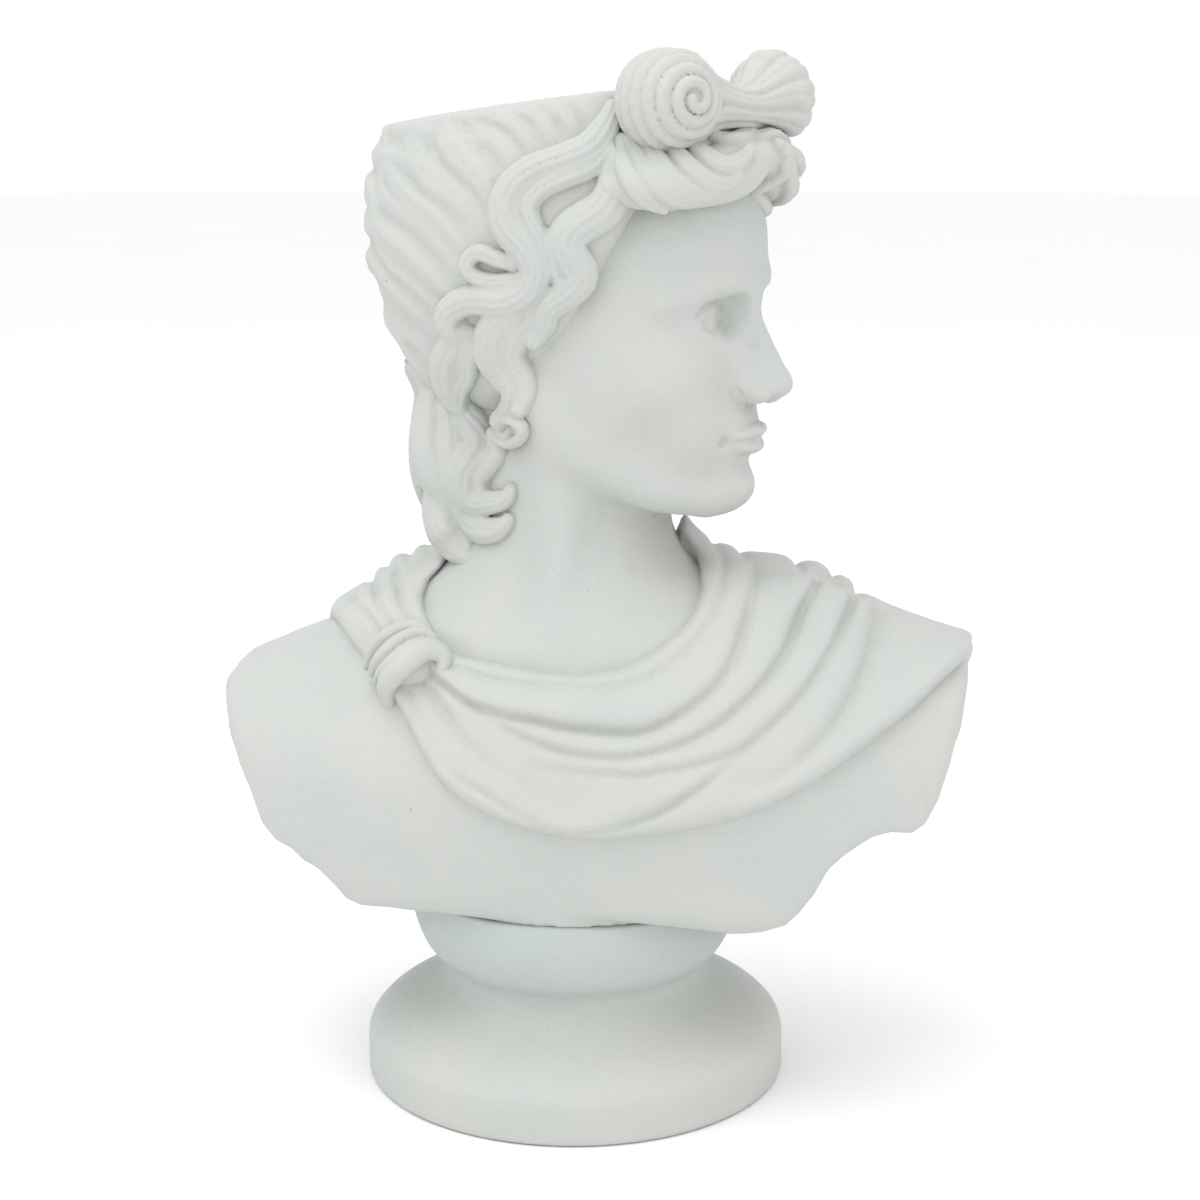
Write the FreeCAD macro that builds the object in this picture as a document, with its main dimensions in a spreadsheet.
"""Classical bust planter: turned socle, draped torso, turned head with an open planting well, and the hardware that holds them.

Units are millimetres, +Z is up and the bust faces -Y. The origin is on the socle's axis, on the plane that the felt rests on.
"""
import FreeCAD, Part
import math
import os
import Sketcher

V = FreeCAD.Vector
doc = FreeCAD.newDocument("BustPlanter")
sheet = doc.addObject("Spreadsheet::Sheet", "Sizes")

SIZES = [
    # base felt and socle
    ("felt_thick", 2.0), ("felt_radius", 90.0),
    ("foot_radius", 96.0), ("foot_bevel_radius", 93.5), ("foot_bevel_top", 5.0), ("foot_side_top", 19.0),
    ("foot_shoulder_radius", 82.0), ("foot_shoulder_top", 35.0),
    ("waist_radius", 57.5), ("waist_height", 48.5),
    ("cup_radius", 74.5), ("cup_height", 72.0), ("cup_top", 91.0),
    ("rod_bore_radius", 5.5), ("well_radius", 20.0), ("well_top", 30.0),
    # joint hardware
    ("bed_thick", 1.5), ("bed_radius", 57.0),
    ("rod_radius", 5.0), ("rod_bottom", 8.0), ("rod_top", 138.0),
    ("nut_across_flats", 17.0), ("nut_thick", 8.0),
    ("washer_radius", 17.0), ("washer_thick", 2.5),
    ("insert_radius", 9.0), ("insert_flange_radius", 13.0), ("insert_bottom", 98.0), ("insert_length", 44.0), ("insert_flange_thick", 4.0),
    ("neck_pin_radius", 7.0), ("neck_pin_bottom", 146.0), ("neck_pin_length", 92.0),
    ("bow_pin_radius", 2.5), ("bow_pin_length", 28.0),
    # torso
    ("torso_left", 157.5), ("torso_right", 178.0), ("torso_yaw", 8.0),
    # cloak
    ("cloak_thick", 7.0),
    # head
    ("head_x", 10.0), ("head_y", -4.0), ("head_yaw", 65.0), ("head_mid_height", 350.0),
    ("skull_half_width", 54.0), ("skull_half_depth", 72.0), ("skull_half_height", 80.0),
    ("cap_half_width", 68.0), ("cap_half_depth", 89.0), ("cap_half_height", 92.0), ("cap_back_shift", 18.0), ("cap_mid_height", 385.0),
    ("rim_height_mid", 440.0), ("rim_tilt", 7.5),
    ("neck_radius", 43.0), ("neck_x", -3.0), ("neck_y", 2.0),
    ("well_half_width", 45.0), ("well_half_depth", 61.0), ("planting_well_floor", 350.0), ("well_floor_share", 0.88),
    ("bow_top", 460.0),
]
for i, (name, value) in enumerate(SIZES, start=1):
    sheet.set(f"A{i}", name)
    sheet.set(f"B{i}", repr(float(value)))
    sheet.setAlias(f"B{i}", name)
doc.recompute()
S = {name: float(getattr(sheet, name)) for name, _ in SIZES}


def plane(body, role):
    for f in body.Origin.OriginFeatures:
        if getattr(f, "Role", "") == role:
            return f
    raise RuntimeError(role)


def new_body(name, label):
    body = doc.addObject("PartDesign::Body", name)
    body.Label = label
    return body


def new_sketch(body, name, role="XY_Plane"):
    sk = body.newObject("Sketcher::SketchObject", name)
    sk.AttachmentSupport = (plane(body, role), [""])
    sk.MapMode = "FlatFace"
    return sk


def bind(sk, con, expr):
    """Names a dimension after its index and ties it to an expression on the sheet."""
    sk.renameConstraint(con, f"d{con}")
    sk.setExpression(f"Constraints.d{con}", expr)


def circle(sk, expr, value):
    g = sk.addGeometry(Part.Circle(V(0, 0, 0), V(0, 0, 1), value), False)
    sk.addConstraint(Sketcher.Constraint("Coincident", g, 3, -1, 1))
    bind(sk, sk.addConstraint(Sketcher.Constraint("Radius", g, value)), expr)


def profile(sk, points, mids):
    """Closed profile through points (x, y, x expression, y expression); mids[i] is a point on the arc of side i, or None for a line."""
    n = len(points)
    ids = []
    for i in range(n):
        a, b = points[i], points[(i + 1) % n]
        pa, pb = V(a[0], a[1], 0), V(b[0], b[1], 0)
        if mids[i] is None:
            ids.append((sk.addGeometry(Part.LineSegment(pa, pb), False), 1, 2))
            continue
        whole = Part.Arc(pa, V(mids[i][0], mids[i][1], 0), pb).toShape().Curve
        c, rad = whole.Center, whole.Radius
        ta, tm, tb = (math.atan2(q[1] - c.y, q[0] - c.x) for q in (a, mids[i], b))
        turn = (tb - ta) % (2 * math.pi)
        forward = (tm - ta) % (2 * math.pi) < turn
        start, end = (ta, ta + turn) if forward else (tb, tb + 2 * math.pi - turn)
        g = sk.addGeometry(Part.ArcOfCircle(Part.Circle(V(c.x, c.y, 0), V(0, 0, 1), rad), start, end), False)
        sk.addConstraint(Sketcher.Constraint("Radius", g, rad))
        ids.append((g, 1, 2) if forward else (g, 2, 1))
    for i in range(n):
        g, first, last = ids[i]
        h, hfirst, _ = ids[(i + 1) % n]
        sk.addConstraint(Sketcher.Constraint("Coincident", g, last, h, hfirst))
        x, y, ex, ey = points[i]
        bind(sk, sk.addConstraint(Sketcher.Constraint("DistanceX", -1, 1, g, first, x)), ex)
        bind(sk, sk.addConstraint(Sketcher.Constraint("DistanceY", -1, 1, g, first, y)), ey)


def revolve(body, sk, name):
    r = body.newObject("PartDesign::Revolution", name)
    r.Profile = sk
    r.ReferenceAxis = (sk, ["V_Axis"])
    r.Angle = 360.0
    sk.Visibility = False
    return r


def pad(body, sk, name, expr):
    p = body.newObject("PartDesign::Pad", name)
    p.Profile = sk
    p.setExpression("Length", expr)
    return p


def lift(sk, expr):
    """Raises a sketch above its plane."""
    sk.setExpression("AttachmentOffset.Base.z", expr)


# --- base felt: a disc that closes the nut well and protects the shelf
felt = new_body("BaseFelt", "base_felt")
sk = new_sketch(felt, "FeltSketch")
circle(sk, "Sizes.felt_radius", S["felt_radius"])
pad(felt, sk, "FeltPad", "Sizes.felt_thick")

# --- socle: turned foot, waist and cup, with the rod bore and the nut well
socle = new_body("Socle", "socle")
sk = new_sketch(socle, "SocleSketch", "XZ_Plane")
ft, ws, wt = S["felt_thick"], S["waist_radius"], S["waist_height"]
profile(
    sk,
    [
        (S["rod_bore_radius"], ft, "Sizes.rod_bore_radius", "Sizes.felt_thick"),
        (S["foot_bevel_radius"], ft, "Sizes.foot_bevel_radius", "Sizes.felt_thick"),
        (S["foot_radius"], S["foot_bevel_top"], "Sizes.foot_radius", "Sizes.foot_bevel_top"),
        (S["foot_radius"], S["foot_side_top"], "Sizes.foot_radius", "Sizes.foot_side_top"),
        (S["foot_shoulder_radius"], S["foot_shoulder_top"], "Sizes.foot_shoulder_radius", "Sizes.foot_shoulder_top"),
        (ws, wt, "Sizes.waist_radius", "Sizes.waist_height"),
        (S["cup_radius"], S["cup_height"], "Sizes.cup_radius", "Sizes.cup_height"),
        (S["cup_radius"], S["cup_top"], "Sizes.cup_radius", "Sizes.cup_top"),
        (S["rod_bore_radius"], S["cup_top"], "Sizes.rod_bore_radius", "Sizes.cup_top"),
    ],
    [None, None, None, (92.6, 28.6), (66.8, 41.0), (69.5, 58.0), None, None, None],
)
doc.recompute()
revolve(socle, sk, "SocleTurned")
sk = new_sketch(socle, "NutWellSketch")
circle(sk, "Sizes.well_radius", S["well_radius"])
lift(sk, "Sizes.felt_thick")
doc.recompute()
before = socle.Shape.Volume
well = socle.newObject("PartDesign::Pocket", "NutWell")
well.Profile = sk
well.Reversed = True
well.setExpression("Length", "Sizes.well_top - Sizes.felt_thick")
doc.recompute()
if socle.Shape.Volume > before - 1000:
    raise RuntimeError("the nut well cut nothing")

# --- bedding ring between the cup and the torso
bed = new_body("BeddingRing", "bedding_ring")
sk = new_sketch(bed, "BedSketch")
circle(sk, "Sizes.bed_radius", S["bed_radius"])
circle(sk, "Sizes.insert_flange_radius + 1", S["insert_flange_radius"] + 1)
lift(sk, "Sizes.cup_top")
pad(bed, sk, "BedPad", "Sizes.bed_thick")

# --- tie rod, washer, nut and threaded insert
rod = new_body("TieRod", "tie_rod")
sk = new_sketch(rod, "RodSketch")
circle(sk, "Sizes.rod_radius", S["rod_radius"])
lift(sk, "Sizes.rod_bottom")
pad(rod, sk, "RodPad", "Sizes.rod_top - Sizes.rod_bottom")
doc.recompute()
ch = rod.newObject("PartDesign::Chamfer", "RodEnds")
ch.Base = (rod.Tip if rod.Tip.Name != "RodEnds" else doc.RodPad, ["Face2", "Face3"])
ch.Base = (doc.RodPad, ["Face2", "Face3"])
ch.Size = 1.2

washer = new_body("TieWasher", "tie_washer")
sk = new_sketch(washer, "WasherSketch")
circle(sk, "Sizes.washer_radius", S["washer_radius"])
circle(sk, "Sizes.rod_radius + 0.4", S["rod_radius"] + 0.4)
lift(sk, "Sizes.well_top - Sizes.washer_thick")
pad(washer, sk, "WasherPad", "Sizes.washer_thick")

nut = new_body("TieNut", "tie_nut")
sk = new_sketch(nut, "NutSketch")
side = S["nut_across_flats"] / math.sqrt(3)
corners = [V(side * math.cos(math.radians(60 * k)), side * math.sin(math.radians(60 * k)), 0) for k in range(6)]
hexa = [sk.addGeometry(Part.LineSegment(corners[k], corners[(k + 1) % 6]), False) for k in range(6)]
for k in range(6):
    sk.addConstraint(Sketcher.Constraint("Coincident", hexa[k], 2, hexa[(k + 1) % 6], 1))
for k in range(1, 6):
    sk.addConstraint(Sketcher.Constraint("Equal", hexa[0], hexa[k]))
rim = sk.addGeometry(Part.Circle(V(0, 0, 0), V(0, 0, 1), side), True)
sk.addConstraint(Sketcher.Constraint("Coincident", rim, 3, -1, 1))
for k in range(6):
    sk.addConstraint(Sketcher.Constraint("PointOnObject", hexa[k], 1, rim))
sk.addConstraint(Sketcher.Constraint("PointOnObject", hexa[0], 1, -1))
bind(sk, sk.addConstraint(Sketcher.Constraint("Radius", rim, side)), "Sizes.nut_across_flats / sqrt(3)")
circle(sk, "Sizes.rod_radius + 0.05", S["rod_radius"] + 0.05)
lift(sk, "Sizes.well_top - Sizes.washer_thick - Sizes.nut_thick")
pad(nut, sk, "NutPad", "Sizes.nut_thick")

insert = new_body("AnchorInsert", "anchor_insert")
sk = new_sketch(insert, "InsertSketch", "XZ_Plane")
ib, il = S["insert_bottom"], S["insert_length"]
profile(
    sk,
    [
        (S["rod_radius"] + 0.05, ib, "Sizes.rod_radius + 0.05", "Sizes.insert_bottom"),
        (S["insert_flange_radius"], ib, "Sizes.insert_flange_radius", "Sizes.insert_bottom"),
        (S["insert_flange_radius"], ib + S["insert_flange_thick"], "Sizes.insert_flange_radius", "Sizes.insert_bottom + Sizes.insert_flange_thick"),
        (S["insert_radius"], ib + S["insert_flange_thick"], "Sizes.insert_radius", "Sizes.insert_bottom + Sizes.insert_flange_thick"),
        (S["insert_radius"], ib + il, "Sizes.insert_radius", "Sizes.insert_bottom + Sizes.insert_length"),
        (S["rod_radius"] + 0.05, ib + il, "Sizes.rod_radius + 0.05", "Sizes.insert_bottom + Sizes.insert_length"),
    ],
    [None] * 6,
)
doc.recompute()
revolve(insert, sk, "InsertTurned")

# --- neck pin: steel dowel from the torso's column up into the neck
pin = doc.addObject("Part::Cylinder", "NeckPin")
pin.Label = "neck_pin"
pin.setExpression("Radius", "Sizes.neck_pin_radius")
pin.setExpression("Height", "Sizes.neck_pin_length")
pin.setExpression("Placement.Base.z", "Sizes.neck_pin_bottom")
pin.setExpression("Placement.Base.x", "Sizes.neck_x")
pin.setExpression("Placement.Base.y", "Sizes.neck_y")
doc.recompute()


# ---------------------------------------------------------------- sculpted castings
def ring(cx, cy, left, right, front, back, z, power=2.2, n=20):
    """Closed smooth wire: a rounded outline reaching left, right, front and back of its centre."""
    pts = []
    for k in range(n):
        a = 2 * math.pi * k / n
        c, s = math.cos(a), math.sin(a)
        ex = abs(c) ** (2 / power) * (right if c > 0 else -left)
        ey = abs(s) ** (2 / power) * (back if s > 0 else -front)
        pts.append(V(cx + ex, cy + ey, z))
    bs = Part.BSplineCurve()
    bs.interpolate(pts, PeriodicFlag=True)
    return Part.Wire([bs.toShape()])


def prism(outline, y0, y1):
    """Extrudes an outline drawn in the front view, from y0 to y1."""
    wire = Part.makePolygon([V(x, y0, z) for x, z in outline] + [V(outline[0][0], y0, outline[0][1])])
    return Part.Face(wire).extrude(V(0, y1 - y0, 0))


def ellipsoid(centre, radii):
    """Ellipsoid as a loft of nine ovals between two small flats."""
    x, y, z = centre
    a, b, c = radii
    rings = []
    for i in range(9):
        t = math.radians(-80 + 20 * i)
        w = math.cos(t)
        rings.append(ring(x, y, a * w, a * w, b * w, b * w, z + c * math.sin(t), 2.0, 16))
    return Part.makeLoft(rings, True, False)


def to_head(shape):
    """Turns a shape drawn facing -Y about the head's own axis, and sets it on that axis."""
    shape.rotate(V(0, 0, 0), V(0, 0, 1), S["head_yaw"])
    shape.translate(V(S["head_x"], S["head_y"], 0))
    return shape


def one_solid(shape, name):
    solids = sorted(shape.Solids, key=lambda s: -s.Volume)
    if not solids:
        raise RuntimeError(f"{name} has no solid")
    found = solids[0]
    if not found.isValid():
        found.fix(0.01, 0.01, 0.01)
    if not found.isValid():
        raise RuntimeError(f"{name} isn't valid")
    return found


# left, right, front, back reach of each level of the torso, before its arms and hem are cut
LEVELS = [
    # z, left, right, front, back
    (S["cup_top"] + S["bed_thick"], 176, 190, 76, 64),
    (105, 184, 202, 82, 68),
    (130, 190, 210, 86, 72),
    (155, 192, 212, 86, 74),
    (178, 186, 208, 80, 73),
    (198, 166, 196, 70, 69),
    (214, 128, 160, 60, 61),
    (228, 92, 114, 52, 53),
    (242, 62, 72, 46, 46),
]


def torso_loft(grow, top_grow=0.0, levels=LEVELS, power=2.25):
    """The trunk, its left shoulder brought forwards by torso_yaw."""
    loft = Part.makeLoft(
        [ring(0, 0, a + grow, b + grow, f + grow, k + grow, z + (top_grow if i == len(levels) - 1 else 0), power) for i, (z, a, b, f, k) in enumerate(levels)],
        True, False,
    )
    loft.rotate(V(0, 0, 0), V(0, 0, 1), -S["torso_yaw"])
    return loft


L, R = S["torso_left"], S["torso_right"]
OUTLINE = [
    (-70, 80), (-93, 80), (-103, 89), (-110, 95), (-118, 102), (-129, 108), (-139, 111), (-143, 120), (-149, 138), (-155, 157),
    (-L, 172), (-156, 182), (-149, 189), (-124, 203), (-108, 213), (-80, 226), (-60, 245), (60, 248), (88, 232), (112, 220), (134, 212),
    (160, 205), (R - 3, 200), (R, 190), (R - 1, 178), (173, 158), (168, 141), (162, 125), (156, 117), (137, 117),
    (125, 111), (115, 103), (108, 91), (100, 82), (90, 78), (60, 78),
]
bulk = torso_loft(0.0).common(prism(OUTLINE, -200, 200))
bulk = one_solid(bulk, "torso bulk")

# head, drawn facing -Y, then turned
well_top = 470.0
skull = ellipsoid((0, 0, S["head_mid_height"] + 6), (S["skull_half_width"], S["skull_half_depth"], S["skull_half_height"]))
jaw = ellipsoid((0, -22, 312), (42, 42, 45))
cap = ellipsoid((0, S["cap_back_shift"], S["cap_mid_height"]), (S["cap_half_width"], S["cap_half_depth"], S["cap_half_height"]))
nose = Part.makeLoft(
    [Part.makePolygon([V(-4, -66, 350), V(4, -66, 350), V(2.5, -73.5, 350), V(-2.5, -73.5, 350), V(-4, -66, 350)]),
     Part.makePolygon([V(-13, -60, 316), V(13, -60, 316), V(5, -87, 316), V(-5, -87, 316), V(-13, -60, 316)])], True, True)
head = to_head(skull.fuse(jaw).fuse(nose))
cap = to_head(cap)
neck = Part.makeLoft([
    ring(S["neck_x"] - 3, S["neck_y"] - 4, 66, 62, 58, 40, 200, 2.0),
    ring(S["neck_x"] - 1, S["neck_y"] - 2, 53, 52, 46, 40, 216, 2.0),
    ring(S["neck_x"], S["neck_y"], S["neck_radius"], S["neck_radius"] + 1, S["neck_radius"], 41, 240, 2.0),
    ring(S["neck_x"] + 2, S["neck_y"], S["neck_radius"] - 1, S["neck_radius"] + 1, S["neck_radius"] - 1, 41, 270, 2.0),
    ring(S["neck_x"] + 6, S["neck_y"] - 1, S["neck_radius"] + 2, S["neck_radius"] + 3, S["neck_radius"], 43, 305, 2.0),
], True, False)
head = head.fuse(cap).fuse(neck)
tilt = math.radians(S["rim_tilt"])
lid = Part.makeBox(400, 400, 200, V(-200, -200, 0))
lid.rotate(V(0, 0, 0), V(1, 0, 0), -S["rim_tilt"])
lid.translate(V(0, 0, S["rim_height_mid"]))
lid = to_head(lid)
head = head.cut(lid)
k = S["well_floor_share"]


def oval(w, d, z):
    e = Part.Ellipse(V(0, S["cap_back_shift"] - 4 + d, z), V(w, S["cap_back_shift"] - 4, z), V(0, S["cap_back_shift"] - 4, z))
    return Part.Wire([e.toShape()])


w0, d0 = S["well_half_width"], S["well_half_depth"]
planting = Part.makeLoft([oval(w0 * k, d0 * k, S["planting_well_floor"]), oval(w0, d0, well_top)], True, True)
planting = to_head(planting)
head = head.cut(planting)
neck_pin_shape = doc.NeckPin.Shape
head = head.cut(neck_pin_shape)
head = one_solid(head.removeSplitter(), "head")

# torso: one block, cut to receive the neck, the pin, the insert and the rod
torso = bulk.cut(head).cut(neck_pin_shape)
torso = torso.cut(doc.AnchorInsert.Shape).cut(Part.makeCylinder(S["insert_flange_radius"] + 1, S["insert_bottom"] - 80, V(0, 0, 80)))
torso = torso.cut(Part.makeCylinder(S["rod_radius"] + 0.5, S["rod_top"] + 4 - 80, V(0, 0, 80)).cut(doc.AnchorInsert.Shape))
torso = one_solid(torso, "torso")

# cloak: a shell on the torso, over both shoulders, its hem hanging in one deep curve across the chest
FRONT = [
    (-84, 192), (-78, 176), (-60, 158), (-34, 146), (-4, 138), (28, 136), (62, 142), (98, 152), (130, 168), (158, 184), (R + 2, 204),
    (R + 2, 230), (120, 262), (49, 262), (47, 240), (41, 216), (32, 205), (17, 197), (-3, 193), (-20, 194), (-36, 197), (-54, 205), (-64, 226), (-66, 262),
    (-130, 240), (-126, 205),
]
BACK = [(-116, 205), (-118, 178), (-100, 150), (-60, 130), (0, 122), (60, 126), (110, 140), (150, 165), (R + 2, 196), (R + 2, 230), (60, 262), (-66, 262), (-130, 240)]
shell = torso_loft(S["cloak_thick"], 3.0).cut(bulk)
limits = [(x + (S["cloak_thick"] * 0.4 if x > 0 else -S["cloak_thick"] * 0.4), z + (6 if z > 150 else 0)) for x, z in OUTLINE]
region = prism(FRONT, -200, 0).fuse(prism(BACK, 0, 200)).common(prism(limits, -200, 200))
cloak = shell.common(region).cut(head)
cloak = one_solid(cloak, "cloak")

# knot on the right shoulder: two short turns of cloth
knot = ellipsoid((0, 0, 0), (17, 14, 25))
knot.rotate(V(0, 0, 0), V(0, 1, 0), -42)
knot.translate(V(-80, -58, 203))
knot = one_solid(knot.cut(torso_loft(S["cloak_thick"], 3.0)).cut(head), "knot")

# bow of hair at the front of the rim: two loops and their tie, on two steel pins
near = ellipsoid((-36, -51, 440), (23, 23, 22))
far = ellipsoid((26, -66, 440), (22, 20, 20))
tie = ellipsoid((-4, -73, 435), (19, 13, 13))
bow = to_head(near.fuse(far).fuse(tie))
bow = bow.common(Part.makeBox(400, 400, S["bow_top"], V(-200, -200, 0)))
pins = []
for x, y in ((-33, -43), (22, -56)):
    pins.append(to_head(Part.makeCylinder(S["bow_pin_radius"], S["bow_pin_length"], V(x, y, 408))))
pins = Part.makeCompound(pins)
bow = one_solid(bow.cut(head).cut(planting).cut(pins), "bow")
head = one_solid(head.cut(pins), "head")

# rolled hair above the forehead, from one temple to the other
roll = ellipsoid((0, 0, 0), (27, 14, 15))
roll.rotate(V(0, 0, 0), V(0, 0, 1), -24)
roll.translate(V(-27, -68, 410))
lobe = ellipsoid((0, 0, 0), (25, 14, 16))
lobe.rotate(V(0, 0, 0), V(0, 0, 1), 24)
lobe.translate(V(24, -69, 411))
parting = ellipsoid((0, -76, 408), (15, 10, 12))
roll = one_solid(to_head(roll.fuse(lobe).fuse(parting)).cut(head).cut(bow).cut(pins), "front roll")


# locks that lie over the ear on each side: a broad upper wave and two hanging ends
upper = ellipsoid((-58, -28, 388), (17, 34, 36))
lower = ellipsoid((-58, -4, 345), (15, 27, 30))
front = ellipsoid((-51, -27, 325), (11, 12, 24))
rear = ellipsoid((-54, 6, 318), (12, 14, 24))
side_mass = one_solid(to_head(upper.fuse(lower).fuse(front).fuse(rear)).cut(head), "side locks")
yaw = math.radians(S["head_yaw"])
other_side = side_mass.mirror(V(S["head_x"], S["head_y"], 0), V(math.cos(yaw), math.sin(yaw), 0))
right_locks = one_solid(side_mass.cut(bow).cut(roll), "right locks")
left_locks = one_solid(other_side.cut(bow).cut(roll), "left locks")

# bunch of locks that hangs down the nape
bunch = ellipsoid((-46, 9, 286), (25, 35, 43))
tail = ellipsoid((-52, -2, 260), (15, 18, 25))
tail2 = ellipsoid((-36, 34, 266), (15, 16, 28))
nape_locks = bunch.fuse(tail).fuse(tail2).cut(head).cut(cloak).cut(torso).cut(right_locks).cut(left_locks)
nape_locks = one_solid(nape_locks, "nape locks")

for name, label, shape in (
    ("Head", "head", head), ("Torso", "torso", torso), ("Cloak", "cloak", cloak), ("CloakKnot", "cloak_knot", knot),
    ("HairBow", "hair_bow", bow), ("BowPins", "bow_pins", pins), ("FrontHairRoll", "front_hair_roll", roll),
    ("SideLocksRight", "side_locks_right", right_locks), ("SideLocksLeft", "side_locks_left", left_locks), ("NapeLocks", "nape_locks", nape_locks),
):
    f = doc.addObject("Part::Feature", name)
    f.Label = label
    f.Shape = shape
    f.Placement = FreeCAD.Placement()

doc.recompute()

NODES = ["BaseFelt", "Socle", "BeddingRing", "TieRod", "TieWasher", "TieNut", "AnchorInsert", "NeckPin", "Torso", "Cloak", "CloakKnot", "Head", "HairBow", "BowPins", "FrontHairRoll", "SideLocksRight", "SideLocksLeft", "NapeLocks"]
for o in doc.Objects:
    if "Invalid" in o.State or "Error" in o.State:
        raise RuntimeError(f"{o.Name}: {o.State}")
for name in NODES:
    o = doc.getObject(name)
    if o.Shape.isNull() or not o.Shape.isValid():
        raise RuntimeError(f"{name}'s shape isn't valid")
os.makedirs("parts", exist_ok=True)
for name in NODES:
    o = doc.getObject(name)
    o.Shape.exportStep(f"parts/{o.Label}.step")
    b = o.Shape.BoundBox
    print(f"{o.Label}: {len(o.Shape.Solids)} solid(s), {o.Shape.Volume / 1000:.1f} cm3, x {b.XMin:.1f}..{b.XMax:.1f} y {b.YMin:.1f}..{b.YMax:.1f} z {b.ZMin:.1f}..{b.ZMax:.1f}")
